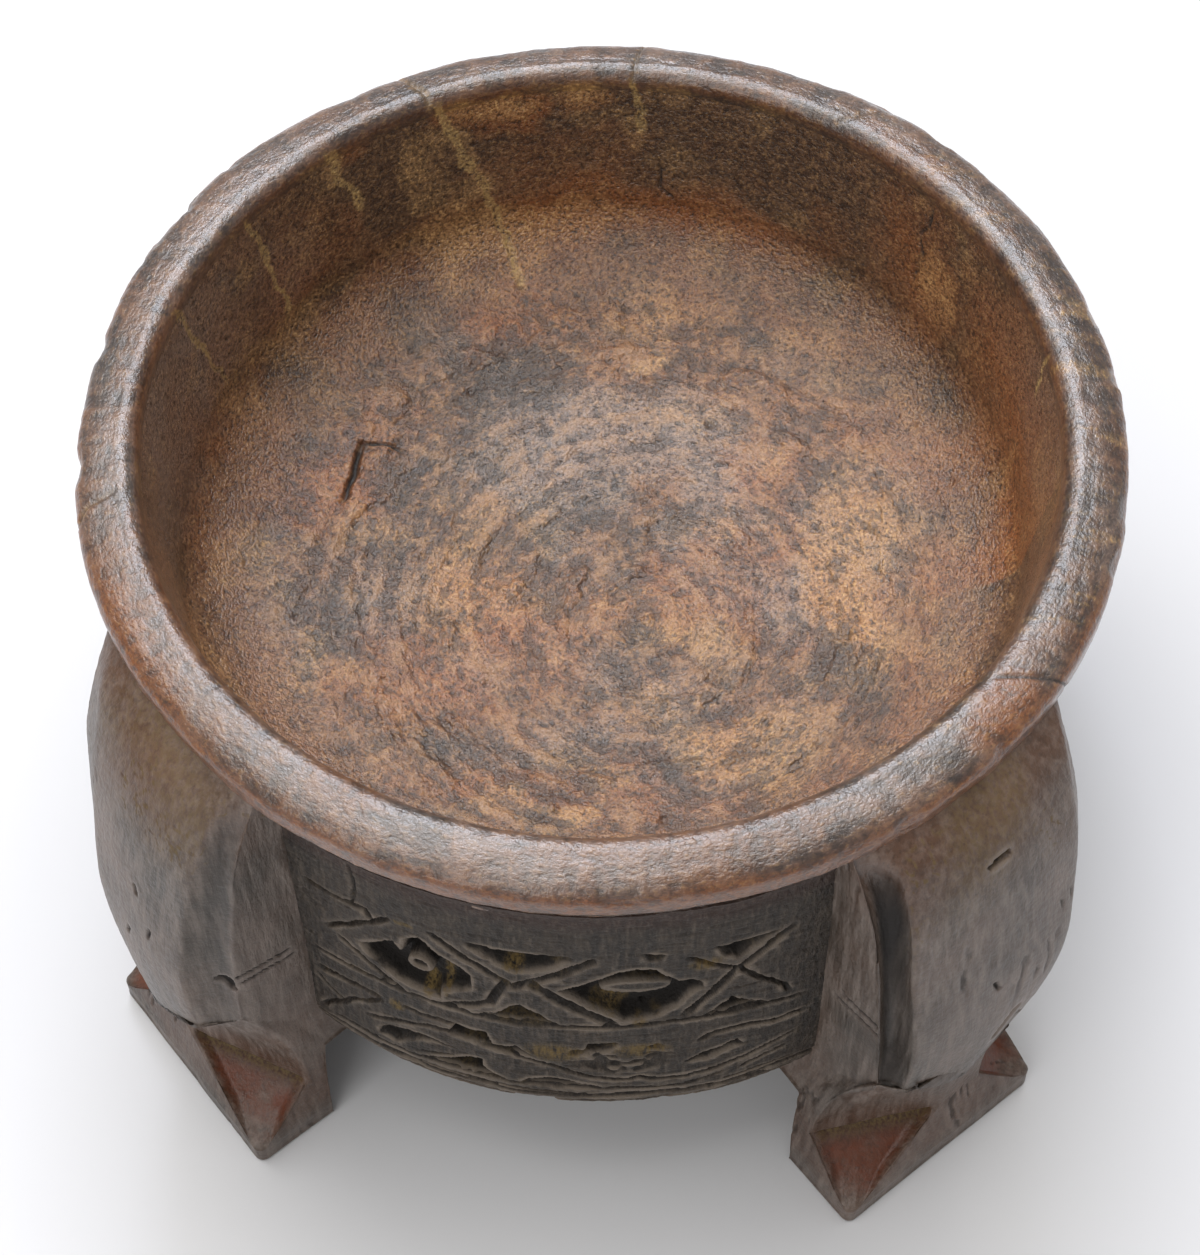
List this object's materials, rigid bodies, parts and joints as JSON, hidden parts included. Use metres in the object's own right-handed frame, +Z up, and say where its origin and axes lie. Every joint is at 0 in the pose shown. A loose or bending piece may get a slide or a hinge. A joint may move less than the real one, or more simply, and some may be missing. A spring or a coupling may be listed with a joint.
{
  "type": "salt bowl",
  "caption": "Hand-carved wooden salt bowl: a round dished basin with a thick overhanging rim on a drum-shaped wall, standing on slab legs with flared square feet.",
  "frame": {"origin": "on the bowl's vertical axis, on the surface that the feet stand on", "axes": "+Z up; the legs stand on the diagonals between X and Y, and the carved panel shown in the picture faces -Y"},
  "size_m": [0.2006, 0.2006, 0.1437],
  "materials": {
    "handled_wood": "hand-polished dark hardwood, satin, worn by use",
    "dry_wood": "dry greyed dark hardwood, dull satin"
  },
  "bodies": {
    "root": {"bowl": "handled_wood", "leg_front_left": "dry_wood", "leg_front_right": "dry_wood", "leg_back_left": "dry_wood", "leg_back_right": "dry_wood"}
  },
  "joints": []
}
